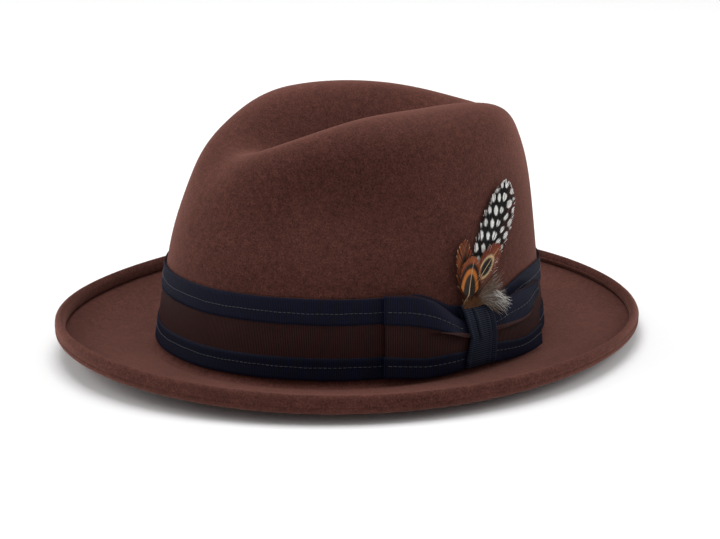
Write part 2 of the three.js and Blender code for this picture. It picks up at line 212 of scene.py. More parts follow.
def beside_knot(across, height, out):
    return wall_point(BOW_AROUND + np.asarray(across, float) / WALL_RADIUS, height, out)


# ---- meshes


def grid_faces(rows, columns, close_rows=False, close_columns=False):
    down = np.arange(rows if close_rows else rows - 1)[:, None]
    side = np.arange(columns if close_columns else columns - 1)[None, :]
    below, beside = (down + 1) % rows, (side + 1) % columns
    corners = [down * columns + side, down * columns + beside, below * columns + beside,
               below * columns + side]
    return np.stack(np.broadcast_arrays(*corners), axis=-1).reshape(-1, 4)


def faced_out(points, faces):
    """Turns the faces round if their quads enclose a negative volume."""
    quads = np.concatenate([face for face in faces if isinstance(face, np.ndarray)])
    a, b, c, d = (points[corner] for corner in quads.T)
    if np.einsum("ij,ij->", a, np.cross(b, c) + np.cross(c, d)) >= 0:
        return faces
    return [face[:, ::-1] if isinstance(face, np.ndarray) else face[::-1] for face in faces]


def added(name, data):
    """A new object in the scene."""
    made = bpy.data.objects.new(name, data)
    bpy.context.scene.collection.objects.link(made)
    return made


def piece(node, points, faces, finish, body="hat", flat=None, tint=None):
    """The fine piece that stands for a CAD node, from points in millimetres and faces: arrays of quads, and
    single faces. Each point can carry its place on the flat ribbon and a painted colour."""
    points = np.asarray(points, float).reshape(-1, 3)
    polygons = []
    for face in faced_out(points, faces):
        polygons += face.tolist() if isinstance(face, np.ndarray) else [[int(i) for i in face]]
    name = node + "_fine"
    mesh = bpy.data.meshes.new(name)
    mesh.from_pydata(((points + [0, 0, FELT]) * MM).tolist(), [], polygons)
    if flat is not None:
        layer = mesh.attributes.new("flat", "FLOAT_VECTOR", "POINT")
        layer.data.foreach_set("vector", flat.astype(np.float32).ravel())
    if tint is not None:
        layer = mesh.attributes.new("tint", "FLOAT_COLOR", "POINT")
        opaque = np.concatenate([tint, np.ones((len(tint), 1))], axis=1)
        layer.data.foreach_set("color", opaque.astype(np.float32).ravel())
    mesh.polygons.foreach_set("use_smooth", np.ones(len(polygons), bool))
    mesh.update()
    mesh.materials.append(FINISHES[finish])
    made = added(name, mesh)
    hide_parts(node)
    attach(made, body)
    return made


def revolved(node, rows, finish, poles=None):
    """A body of revolution from rows of points, closed by its two poles or else back on its first row."""
    count, columns = len(rows), len(rows[0])
    points = np.concatenate(rows)
    faces = [grid_faces(count, columns, poles is None, True)]
    if poles is not None:
        first, last, base = len(points), len(points) + 1, (count - 1) * columns
        points = np.concatenate([points, poles])
        pairs = [(start, (start + 1) % columns) for start in range(columns)]
        faces += [[first, b, a] for a, b in pairs]
        faces += [[last, base + a, base + b] for a, b in pairs]
    return piece(node, points, faces, finish)


def ribbon_solid(node, outer, inner, along, across, finish, loop=False):
    """A closed ribbon from the grids of its two faces, each (stations, rows), and its flat coordinates."""
    stations, rows = outer.shape[:2]
    section = np.concatenate([outer, inner[:, ::-1]], axis=1)
    flat = np.stack(np.broadcast_arrays(along, across, 0.0), axis=-1)
    flat = np.concatenate([flat, flat[:, ::-1] + [0, 0, 1]], axis=1)
    faces = [grid_faces(stations, 2 * rows, loop, True)]
    if not loop:
        start = (stations - 1) * 2 * rows
        faces += [list(range(2 * rows))[::-1], list(range(start, start + 2 * rows))]
    return piece(node, section, faces, finish, flat=flat.reshape(-1, 3))


def smoothed(padded, width):
    """A running average over an odd number of places, which uses up half of them at each end."""
    kernel = np.hanning(width)
    return np.convolve(padded, kernel / kernel.sum(), "valid")


# ---- materials

NOISE_RANGE = (0.3, 0.7)              # where most of a noise's values lie


class Finish:
    """A material on a Principled shader, built up from a few procedural nodes."""

    def __init__(self, name, **sockets):
        self.material = bpy.data.materials.new(name)
        self.material.use_nodes = True
        self.tree = self.material.node_tree
        self.shader = self.tree.nodes["Principled BSDF"]
        for socket, value in sockets.items():
            self.shader.inputs[socket.replace("_", " ")].default_value = value

    def node(self, kind, inputs=None, **settings):
        node = self.tree.nodes.new("ShaderNode" + kind)
        for key, value in settings.items():
            setattr(node, key, value)
        for key, value in (inputs or {}).items():
            self.feed(node.inputs[key], value)
        return node

    def feed(self, socket, value):
        if isinstance(value, bpy.types.NodeSocket):
            self.tree.links.new(value, socket)
        else:
            socket.default_value = value

    def place(self, stretch=(1, 1, 1), source=None):
        """The piece's own coordinates in metres, or another source, stretched."""
        source = source or self.node("TexCoord").outputs["Object"]
        return self.node("Mapping", {"Vector": source, "Scale": stretch}).outputs["Vector"]

    def attribute(self, name, output):
        return self.node("Attribute", attribute_name=name).outputs[output]

    def flat(self, stretch):
        """Millimetres along and across a ribbon, stretched."""
        return self.place(stretch, self.attribute("flat", "Vector"))

    def noise(self, where, scale, detail, roughness):
        return self.node("TexNoise", {"Vector": where, "Scale": scale, "Detail": detail,
                                      "Roughness": roughness}).outputs["Fac"]

    def math(self, operation, first, second=0.0):
        return self.node("Math", {0: first, 1: second}, operation=operation).outputs[0]

    def ramp(self, value, *stops):
        """A colour ramp with (position, colour) stops."""
        node = self.node("ValToRGB", {"Fac": value})
        points = node.color_ramp.elements
        while len(points) < len(stops):
            points.new(0.5)
        for point, (position, colour) in zip(points, stops):
            point.position = position
            point.color = (*colour, 1)
        return node.outputs["Color"]

    def span(self, value, dark, light):
        """A ramp over a noise's usual range, between two colours or two greys."""
        dark, light = (c if np.ndim(c) else (c, c, c) for c in (dark, light))
        return self.ramp(value, (NOISE_RANGE[0], dark), (NOISE_RANGE[1], light))

    def level(self, value, low, high, to_low, to_high):
        return self.node("MapRange", {"Value": value, "From Min": low, "From Max": high,
                                      "To Min": to_low, "To Max": to_high}).outputs["Result"]

    def blend(self, share, first, second, kind="MIX"):
        node = self.node("Mix", {"Factor": share, "A": first}, data_type="RGBA", blend_type=kind)
        self.feed(node.inputs["B"], second if isinstance(second, bpy.types.NodeSocket) else (*second, 1))
        return node.outputs["Result"]

    def multiply(self, share, first, second):
        return self.blend(share, first, second, "MULTIPLY")

    def done(self, colour, grain, smoothest, dullest, bump=None):
        """The material, with a roughness that follows a grain. bump is (height, distance, strength)."""
        self.feed(self.shader.inputs["Base Color"], colour)
        self.feed(self.shader.inputs["Roughness"], self.level(grain, *NOISE_RANGE, smoothest, dullest))
        if bump:
            raised = self.node("Bump", dict(zip(("Height", "Distance", "Strength"), bump)))
            self.feed(self.shader.inputs["Normal"], raised.outputs["Normal"])
        return self.material


def rgb(red, green, blue):
    """Linear colour from the sRGB bytes."""
    return np.array([byte / 255 / 12.92 if byte <= 10 else ((byte / 255 + 0.055) / 1.055) ** 2.4
                     for byte in (red, green, blue)])


def felt_finish():
    made = Finish("felt", Sheen_Weight=0.5, Sheen_Roughness=0.45, Sheen_Tint=(*rgb(196, 140, 126), 1),
                  Specular_IOR_Level=0.08)
    where = made.place()
    broad = made.noise(where, 28, 3, 0.5)
    nap = made.noise(where, 1150, 3, 0.75)
    fine = made.noise(where, 2600, 2, 0.6)
    tufts = made.noise(where, 330, 3, 0.7)
    body = made.span(broad, rgb(73, 42, 36), rgb(82, 48, 42))
    grain = made.ramp(nap, (0.32, (0.35, 0.34, 0.34)), (0.5, (0.95, 0.95, 0.95)), (0.68, (1.6, 1.56, 1.56)))
    speck = made.ramp(fine, (0.35, (0.7, 0.7, 0.7)), (0.65, (1.25, 1.25, 1.25)))
    colour = made.multiply(0.7, made.multiply(0.8, body, grain), speck)
    colour = made.multiply(0.8, colour, made.span(tufts, 0.7, 1.3))
    raised = made.math("ADD", nap, made.math("MULTIPLY", fine, 0.5))
    return made.done(colour, nap, 0.86, 1.0, (raised, 0.0003, 0.5))


def grosgrain_finish(name, dark, light, pitch):
    """Ribbed ribbon: cords across it, wrapped in finer warp yarns that run along it. Its colour carries
    painted shade in the valleys between the cords and painted light on their crests.
    """
    made = Finish(name, Sheen_Weight=0.04, Sheen_Roughness=0.35, Sheen_Tint=(*light, 1),
                  Specular_IOR_Level=0.12)
    turns = made.flat((1 / pitch, 0, 0))
    along = made.node("SeparateXYZ", {"Vector": turns}).outputs["X"]
    phase = made.math("ABSOLUTE", made.math("SUBTRACT", made.math("FRACT", along), 0.5))
    crest = made.level(phase, 0.0, 0.5, 1.0, 0.0)
    yarns = made.noise(made.flat((0.35, 5.5, 1)), 1.0, 2, 0.5)
    cloud = made.noise(made.flat((0.05, 0.12, 1)), 1.0, 3, 0.5)
    # painted shade and light: the colour goes very dark in the valleys between the cords, and rises from the
    # shaded tone to the lit tone up to their crests
    body = made.ramp(crest, (0.0, dark * 0.45), (0.35, dark), (0.9, light))
    colour = made.multiply(0.7, body, made.span(yarns, 0.72, 1))
    colour = made.multiply(0.8, colour, made.span(cloud, 0.8, 1))
    raised = made.math("ADD", yarns, made.math("MULTIPLY", crest, 1.2))
    return made.done(colour, yarns, 0.55, 0.75, (raised, 0.00006, 0.6))


def thread_finish():
    made = Finish("thread", Sheen_Weight=0.2, Specular_IOR_Level=0.4)
    twist = made.noise(made.place((1, 1, 2.5)), 2600, 1, 0.5)
    colour = made.ramp(twist, (0.35, rgb(42, 43, 48)), (0.65, rgb(74, 74, 78)))
    return made.done(colour, twist, 0.5, 0.75)


def leather_finish():
    made = Finish("sweat_leather", Specular_IOR_Level=0.4)
    where = made.place()
    pores = made.node("TexVoronoi", {"Vector": where, "Scale": 1100}).outputs["Distance"]
    broad = made.noise(where, 60, 4, 0.6)
    hide = made.span(broad, rgb(44, 28, 21), rgb(60, 40, 31))
    colour = made.blend(made.level(pores, 0, 0.5, 0.35, 0.0), hide, rgb(24, 15, 11))
    return made.done(colour, broad, 0.42, 0.6, (pores, 0.0001, 0.5))


def satin_finish(dark, light):
    made = Finish("satin", Sheen_Weight=0.3, Sheen_Roughness=0.3, Sheen_Tint=(*light, 1),
                  Specular_IOR_Level=0.55, Anisotropic=0.4)
    # painted shade and light: a broad noise shifts the satin between its dark and light tones as if over
    # folds, which the shape doesn't have
    fold_shading = made.noise(made.place(), 90, 3, 0.5)
    threads = made.noise(made.place((1, 1, 0.12)), 9000, 1, 0.5)
    colour = made.multiply(0.5, made.span(fold_shading, dark, light), made.span(threads, 0.6, 1))
    return made.done(colour, threads, 0.3, 0.45, (threads, 0.00005, 0.4))


def tape_finish():
    made = Finish("tape", Specular_IOR_Level=0.3)
    weave = made.node("TexChecker", {"Vector": made.place(), "Scale": 2200}).outputs["Fac"]
    cloud = made.noise(made.place(), 150, 3, 0.6)
    body = made.span(cloud, rgb(26, 21, 19), rgb(40, 33, 30))
    colour = made.blend(made.math("MULTIPLY", weave, 0.35), body, rgb(14, 11, 10))
    return made.done(colour, cloud, 0.75, 0.9, (weave, 0.00004, 0.5))


def vinyl_finish():
    made = Finish("clear_vinyl", Transmission_Weight=0.9, IOR=1.45)
    smears = made.noise(made.place(), 40, 4, 0.6)
    colour = made.span(smears, rgb(225, 224, 216), rgb(240, 239, 234))
    return made.done(colour, smears, 0.08, 0.22, (smears, 0.0004, 0.3))


def feather_finish(name, gloss):
    """A vane's colours are painted on its barbs; the nodes add each barb's grain and sheen."""
    made = Finish(name, Sheen_Weight=0.05, Sheen_Roughness=0.4, Specular_IOR_Level=gloss)
    grain = made.noise(made.place(), 1800, 3, 0.6)
    shade = made.span(grain, (0.8, 0.79, 0.78), 1)
    return made.done(made.multiply(0.8, made.attribute("tint", "Color"), shade), grain, 0.42, 0.7)


# Shaded and lit tones of each ribbon: the grosgrain finish paints the shaded tone into the valleys of the
# cords and the lit tone onto their crests, as painted shade and light.
NAVY_SHADED, NAVY_LIT = rgb(4, 5, 17), rgb(25, 29, 58)
BROWN_SHADED, BROWN_LIT = rgb(34, 15, 14), rgb(74, 41, 38)
BAND_RIB = 0.86
KNOT_RIB = 1.0

FINISHES = {
    "felt": felt_finish(),
    "navy_ribbon": grosgrain_finish("navy_ribbon", NAVY_SHADED, NAVY_LIT, BAND_RIB),
    "brown_ribbon": grosgrain_finish("brown_ribbon", BROWN_SHADED, BROWN_LIT, BAND_RIB),
    # the knot ribbon's two tones are likewise a painted shaded tone for its rib valleys and a painted lit
    # tone for its crests
    "knot_ribbon": grosgrain_finish("knot_ribbon", rgb(2, 3, 8), rgb(46, 54, 76), KNOT_RIB),
    "thread": thread_finish(),
    "guinea_feather": feather_finish("guinea_feather", 0.15),
    "pheasant_feather": feather_finish("pheasant_feather", 0.25),
    "down": feather_finish("down", 0.1),
    "tape": tape_finish(),
    "sweat_leather": leather_finish(),
    # the satin's dark and light tones are the painted shade and light of its folds
    "satin": satin_finish(rgb(52, 38, 31), rgb(84, 64, 52)),
    "clear_vinyl": vinyl_finish(),
}


# ---- felt body

COLUMNS = 320
AROUND = np.arange(COLUMNS) * 2 * np.pi / COLUMNS
TIP = 0.997                           # the last ring of the crown, before its pole
TOP_DEEPER = 1.15                     # the pole's depth below the crown, in shares of the depth elsewhere


def felt_body():
    """Crown, brim and rolled edge: the edge is folded up and over, and its raw end stands on the brim."""
    def rest(out):
        point = brim_point(AROUND, out, 0)
        flat_share = 1 - ease((out - 4) / 10)
        point[:, 2] = mix(point[:, 2], 0, flat_share) - FELT
        return point

    def edge_top(out, below):
        return brim_point(AROUND, out, EDGE_HEIGHT + EDGE_SWAY * np.cos(AROUND) - below)

    rows = [crown_point(along, AROUND, FELT) for along in np.linspace(TIP, along_at(2.0), 80)]
    rows += [wall_point(AROUND, height, -FELT + sink) for height, sink in
             [(1.0, 0), (0, 0.05), (-1.0, 0.2), (-1.7, 0.55), (-2.1, 1.1)]]
    rows += [rest(out) for out in (-0.6, 1.2, 3, 5, 7, 9, 11, 13, 16, 20, 25, 30, 35, 40, 43.5)]
    bend = 2.6
    for angle in np.linspace(-90, 0, 8) * DEGREE:
        rows.append(brim_point(AROUND, BRIM_SIDE - bend + bend * math.cos(angle),
                               bend - FELT + bend * math.sin(angle)))
    fold = [(-0.03, 0.7), (-0.16, 0.95), (-0.2, 1.15), (-0.14, 1.35), (-0.01, 1.7), (0.1, 2.6)]
    rows += [brim_point(AROUND, BRIM_SIDE + out, height) for out, height in fold]
    half, dome = EDGE_WIDTH / 2, 1.35
    for angle in np.linspace(0, 180, 15) * DEGREE:
        aside = math.cos(angle) * abs(math.cos(angle)) ** 0.4
        rows.append(edge_top(BRIM_SIDE - half + half * aside, dome * half * (1 - math.sin(angle))))
    inner_face = BRIM_SIDE - EDGE_WIDTH
    raw_end = [(-0.15, 3.2), (-0.2, 2.2), (-0.1, 1.4), (0, 1.05), (0.25, 0.8), (0.7, 0.72), (1.4, 0.6),
               (1.7, 0.35), (1.4, 0.08), (0.6, 0.02), (-0.4, 0)]
    rows += [brim_point(AROUND, inner_face + out, height) for out, height in raw_end]
    hollow_out, hollow = 4.2, 3.4
    rows += [brim_point(AROUND, out, 0) for out in (41, 38, 34, 30, 26, 22, 18, 14, 10, 7, 5, hollow_out)]
    for angle in np.linspace(15, 75, 5) * DEGREE:
        out, height = hollow_out * (1 - math.sin(angle)), hollow * (1 - math.cos(angle))
        rows.append(mix(brim_point(AROUND, out, height), wall_point(AROUND, height, out), angle / 1.6))
    rows += [crown_point(along, AROUND) for along in np.linspace(along_at(hollow), TIP, 150)]
    top = blocked(*open_crown(1.0), np.array(0.0))
    revolved("felt_body", rows, "felt", np.stack([top - [0, 0, FELT * TOP_DEEPER], top]))


# ---- hatband

RIB_DEPTH = 0.1
STITCH_PITCH = 2.3
PULL = 0.16                           # how far the stitches pull the ribbon in
ROUNDED = 0.16                        # how much of a ribbon's width each rounded edge takes
EDGE_DROP = 0.2
MEAN_RADIUS = 95.5
DRAWN = {"high": 34, "from": 9, "over_in_front": 24, "rise_behind": 6, "over_behind": 38,
         "sag": 1.7, "sag_from": 60, "sag_over": 30, "back_from": 150, "back_over": 70}


def ribs(along, pitch):
    """Height of a ribbon's cords, in shares of their depth."""
    return np.abs(np.sin(np.pi * along / pitch)) ** 0.7


def rows_across(low, high, count):
    """Heights across a ribbon, closer together at its two rounded edges."""
    return np.concatenate([[low], np.linspace(low + ROUNDED, high - ROUNDED, count), [high]])


def edge_drop(heights):
    """How far a ribbon's rounded edges fall below its face."""
    drop = np.zeros(len(heights))
    drop[0] = drop[-1] = EDGE_DROP
    return drop


def band_wave(around):
    """How far the band's edges wander up or down, as a hand-sewn ribbon's do."""
    return 0.16 * np.sin(3 * around + 0.6) + 0.1 * np.sin(8 * around + 2.1) + 0.05 * np.sin(17 * around)


def band_level(around, height):
    """Where a height on the flat band lies: the knot draws the top edge down, and the back sits lower."""
    across = WALL_RADIUS * (np.mod(around - BOW_AROUND + math.pi / 2, 2 * math.pi) - math.pi / 2)
    high = DRAWN["high"]
    in_front = high + (BAND_HIGH - high) * ease((-across - DRAWN["from"]) / DRAWN["over_in_front"])
    behind = high + DRAWN["rise_behind"] * ease((across - DRAWN["from"]) / DRAWN["over_behind"])
    behind = behind - DRAWN["sag"] * ease((across - DRAWN["sag_from"]) / DRAWN["sag_over"])
    behind = mix(behind, BAND_HIGH, ease((across - DRAWN["back_from"]) / DRAWN["back_over"]))
    drawn_high = np.where(across < 0, in_front, behind)
    share = (height - BAND_LOW) / (BAND_HIGH - BAND_LOW)
    return mix(BAND_LOW, drawn_high, share) + band_wave(around)


def band_stand(around, height):
    """How far the ribbon stands off the felt besides its own layers."""
    loose = 0.12 + 0.1 * np.sin(5 * around + 1.3) + 0.06 * np.sin(13 * around + height / 9)
    return loose * ease((height - 30) / 14) + 0.05 * np.sin(9 * around + height / 5)


def furrow(height):
    """The stitching pulls the ribbon in along its lines."""
    return PULL * (hump(height - UPPER_STITCH, 0.7) + hump(height - LOWER_STITCH, 0.7))


def band_ribbon(node, low, high, inner, finish, count):
    meet = 0.3 * DEGREE
    length = (2 * math.pi - 2 * meet) * MEAN_RADIUS
    stations = int(length / BAND_RIB * 4)
    around = np.linspace(BOW_AROUND + meet, BOW_AROUND + 2 * math.pi - meet, stations)[:, None]
    along = np.linspace(0, length, stations)[:, None]
    heights = rows_across(low, high, count)[None, :]
    cords = ribs(along, BAND_RIB) * RIB_DEPTH
    picot = np.where((heights == heights.min()) | (heights == heights.max()), cords * 1.2, 0)
    picot = picot * np.sign(heights - heights.mean())
    stand = band_stand(around, heights) - furrow(heights) * ease((heights - low) / 2)
    level, drop = band_level(around, heights), edge_drop(heights[0])[None, :]
    outer = wall_point(around, level + picot, inner + RIBBON + stand + cords - drop)
    back = wall_point(around, level + picot * 0.8, inner + stand + drop * 0.6)
    ribbon_solid(node, outer, back, along, heights, finish)


def stitch_line(node, path, count, radius=0.14, cover=0.74):
    """Separate stitches along a path, which gives points and outward directions for shares 0 to 1."""
    rings, sides = 7, 6
    points, faces = [], []
    section = np.arange(sides) * 2 * np.pi / sides
    for i in range(count):
        middle = (i + 0.5) / count
        reach = cover * 0.5 / count
        share = middle + np.linspace(-reach, reach, rings)
        centre, out = path(share)
        arch = np.sin(np.linspace(0.12, 0.88, rings) * np.pi)
        centre = centre + out * ((arch - 0.62) * radius * 2.2)[:, None]
        forward = unit(np.gradient(centre, axis=0))
        side = unit(np.cross(forward, out))
        lift = unit(np.cross(side, forward))
        turned = side[:, None] * np.cos(section)[:, None] + lift[:, None] * np.sin(section)[:, None]
        ring = centre[:, None] + turned * (radius * (0.55 + 0.45 * arch))[:, None, None]
        start = i * rings * sides
        points.append(ring.reshape(-1, 3))
        faces.append(grid_faces(rings, sides, False, True) + start)
        faces.append([start + j for j in range(sides)][::-1])
        faces.append([start + (rings - 1) * sides + j for j in range(sides)])
    piece(node, np.concatenate(points), faces, "thread")


def along_wall(height, start, stop, out, wander):
    """A stitch path round the band at one height."""
    def path(share):
        around = mix(start, stop, share)
        at = band_level(around, height) + wander * (0.6 * np.sin(around * 41) + np.sin(around * 13))
        stand = band_stand(around, np.full_like(around, height)) - PULL
        return wall_point(around, at, out + stand), outward(around)
    return path


def hatband():
    navy_inner = 2 * AIR + RIBBON
    band_ribbon("band_ribbon_brown", BAND_LOW, BAND_HIGH, AIR, "brown_ribbon", 5)
    band_ribbon("band_ribbon_navy_upper", UPPER_LOW, BAND_HIGH, navy_inner, "navy_ribbon", 9)
    band_ribbon("band_ribbon_navy_lower", BAND_LOW, LOWER_HIGH, navy_inner, "navy_ribbon", 8)
    surface = navy_inner + RIBBON + RIB_DEPTH
    bare = 8 * DEGREE                 # under the knot, where the band has no stitches
    start, stop = BOW_AROUND + bare, BOW_AROUND + 2 * math.pi - bare
    count = int((stop - start) * MEAN_RADIUS / STITCH_PITCH)
    for node, height in (("band_thread_upper", UPPER_STITCH), ("band_thread_lower", LOWER_STITCH)):
        stitch_line(node, along_wall(height, start, stop, surface + 0.1, 0.12), count)


# ---- bow

BOW_BACK = 3.05
BOW_DEEP = 2.4
BACK_LIFT = 1.6

# Heights on each loop of four lines along the ribbon: its lower edge, the lower border between navy and
# brown, the upper border and the upper edge, for distances from the knot's middle.
FRONT_LOOP = np.array([
    (0, 4.7, 12.8, 19.8, 26.4), (8, 4.4, 12.8, 19.9, 27.0), (11.5, 3.4, 12.9, 20.9, 29.0),
    (18, 2.6, 13.1, 23.7, 34.4), (24, 2.5, 12.8, 25.8, 38.8), (30, 2.5, 12.6, 27.3, 41.4),
    (38, 3.3, 13.6, 29.0, 43.0), (50, 4.7, 15.0, 30.4, 43.8),
])
BACK_LOOP = np.array([
    (0, 4.7, 12.8, 19.8, 26.4), (8, 4.4, 13.0, 19.6, 27.0), (12, 3.0, 13.2, 19.8, 28.4),
    (20, 2.3, 12.2, 20.8, 32.4), (28, 2.1, 11.6, 21.6, 34.0), (34, 2.2, 11.9, 23.4, 34.4),
    (40, 2.5, 12.6, 26.4, 34.8), (50, 3.0, 13.5, 29.6, 35.4),
])
# The tuck above the brown ribbon: (height on the flat ribbon, rise, stand off).
TUCK = np.array([
    (3.8, 0, -0.7), (6, 0, 0), (10, 0, 0.3), (14.4, 0, 0.4), (18, 1.4, 0.2), (21.5, 2.7, 0), (24, 3.4, 0.1),
    (25.1, 3.5, 0.6), (26.1, 2.4, 1.15), (27.2, 0.8, 1.5), (27.8, 0.1, 1.85), (28.4, 0, 2.1),
    (29.3, 0, 2.1), (30.3, 0, 1.95), (33, 0, 1.5), (36.5, 0, 1.0), (40, 0, 0.1), (42.5, 0, -1.2),
])


def loop_height(across, height):
    """Height on the bow of a place on its flat ribbon, which is gathered in towards the knot."""
    across, height = np.broadcast_arrays(np.asarray(across, float), np.asarray(height, float))
    levels = [BAND_LOW, LOWER_HIGH, UPPER_LOW, BAND_HIGH]
    beside = np.abs(across)
    steps = np.linspace(0, 56, 113)
    lines = []
    for column in range(1, 5):
        pair = []
        for table in (FRONT_LOOP, BACK_LOOP):
            line = np.interp(steps, table[:, 0], table[:, column])
            line = np.concatenate([line[6:0:-1], line, np.full(6, line[-1])])
            pair.append(np.interp(beside, steps, smoothed(line, 13)))
        lines.append(np.where(across < 0, *pair))
    found = lines[0]
    for low, high, below, above in zip(levels, levels[1:], lines, lines[1:]):
        share = (height - low) / (high - low)
        found = np.where(height >= low, mix(below, above, share), found)
    return found


def tuck(height):
    """Smooth rise and stand-off of the tuck for flat heights."""
    fine = np.linspace(TUCK[0, 0], TUCK[-1, 0], 400)
    made = []
    for column in (1, 2):
        line = np.interp(fine, TUCK[:, 0], TUCK[:, column])
        extended = np.concatenate([2 * line[0] - line[7:0:-1], line, 2 * line[-1] - line[-2:-9:-1]])
        made.append(np.interp(height, fine, smoothed(extended, 15)))
    return made


def bow_stand(across):
    """The loop behind the knot stands away from the band, and the loop in front of it lies close."""
    return BACK_LIFT * ease((across - 10) / 30) - ease((-across - 12) / 30)


def bow_front(across, height):
    """Height and stand-off of the bow's front layer."""
    rise, out = tuck(height)
    fade = np.where(across < 0, ease((34 - np.abs(across)) / 18), ease((46 - np.abs(across)) / 14))
    under = 0.2 + 0.8 * ease((np.abs(across) - 8.5) / 8)
    share = np.clip((height - BAND_LOW) / (BAND_HIGH - BAND_LOW), 0, 1)
    swell = 0.7 * np.sin(np.pi * share) * hump(np.abs(across) - 28, 13)
    return loop_height(across, height) + rise * fade, out * fade * under + swell


def bow_surface(heights):
    """The bow's outermost face as a closed band of stations: front layer, bend, back layer, bend."""
    bend = BOW_DEEP / 2
    flat_reach = BOW_REACH - bend
    front_stations = int(2 * flat_reach / BAND_RIB * 4)
    front = np.linspace(-flat_reach, flat_reach, front_stations)
    arc = np.linspace(0, 180, 14)[1:-1] * DEGREE
    back = np.linspace(flat_reach, -flat_reach, 60)
    across = np.concatenate([front, flat_reach + bend * np.sin(arc), back, -flat_reach - bend * np.sin(arc)])
    middle = BOW_BACK + bend
    level = np.concatenate([np.full(len(front), middle + bend), middle + bend * np.cos(arc),
                            np.full(len(back), middle - bend), middle - bend * np.cos(arc)])
    facing = np.clip((level - BOW_BACK) / BOW_DEEP, 0, 1)[:, None]
    across_grid, height_grid = np.broadcast_arrays(across[:, None], heights[None, :])
    up_front, stand = bow_front(across_grid, height_grid)
    up = mix(loop_height(across_grid, height_grid), up_front, facing)
    along = np.concatenate([[0], np.cumsum(np.hypot(np.diff(across), np.diff(level)))])
    surface = beside_knot(across_grid, up, level[:, None] + stand * facing + bow_stand(across_grid))
    return surface, along[:, None], facing


def loop_normals(surface):
    wrapped = np.concatenate([surface[-1:], surface, surface[:1]])
    round_way = wrapped[2:] - wrapped[:-2]
    return unit(np.cross(round_way, np.gradient(surface, axis=1)))


def bow_ribbon(node, heights, inset, finish):
    surface, along, facing = bow_surface(heights)
    normals = loop_normals(surface)
    cords = ribs(along, BAND_RIB) * RIB_DEPTH * facing
    dip = furrow(heights)[None, :] * facing if inset == 0 else 0
    drop = edge_drop(heights)[None, :]
    outer = surface + normals * (cords - inset - dip - drop)[..., None]
    inner = surface - normals * (inset + RIBBON + dip - drop * 0.5)[..., None]
    ribbon_solid(node, outer, inner, along, heights[None, :], finish, loop=True)


def bow():
    bow_ribbon("bow_ribbon_navy_upper", rows_across(UPPER_LOW, BAND_HIGH, 12), 0, "navy_ribbon")
    bow_ribbon("bow_ribbon_navy_lower", rows_across(BAND_LOW, LOWER_HIGH, 9), 0, "navy_ribbon")
    fine = np.concatenate([[BAND_LOW], np.linspace(BAND_LOW + ROUNDED, 19, 12), np.linspace(20, 30, 30),
                           np.linspace(31, BAND_HIGH - ROUNDED, 9), [BAND_HIGH]])
    bow_ribbon("bow_ribbon_brown", fine, RIBBON + AIR, "brown_ribbon")
    lines = (("front", -BOW_REACH + 1.5, -KNOT_WIDTH / 2 - 1), ("back", KNOT_WIDTH / 2 + 1, BOW_REACH - 1.5))
    for end, start, stop in lines:
        for edge, height in (("upper", UPPER_STITCH), ("lower", LOWER_STITCH)):
            def path(share, start=start, stop=stop, height=height):
                across = mix(start, stop, share)
                up, stand = bow_front(across, np.full_like(across, height))
                point = beside_knot(across, up, BOW_BACK + BOW_DEEP + stand + bow_stand(across) + 0.08)
                return point, outward(BOW_AROUND + across / WALL_RADIUS)
            stitch_line(f"bow_thread_{end}_{edge}", path, int((stop - start) / STITCH_PITCH))


# ---- knot

KNOT_SIDES = np.array([
    (3.6, -8.9, 8.2), (8.5, -8.9, 8.8), (18.6, -6.2, 10.0), (25.7, -8.0, 9.3), (28.2, -8.5, 8.8),
    (34.2, -9.8, 6.0),
])
KNOT_TUCKS = ((-3.4, 17, 32), (5.6, 5, 33))     # place across the knot, and how far down and up
TUCK_PITCH = 2.2


def knot_across(spot, height):
    """The knot's sides lean and draw in: where a place across its ribbon lies at each height."""
    front = np.interp(height, KNOT_SIDES[:, 0], KNOT_SIDES[:, 1])
    back = np.interp(height, KNOT_SIDES[:, 0], KNOT_SIDES[:, 2])
    return mix(front, back, spot / KNOT_WIDTH + 0.5)


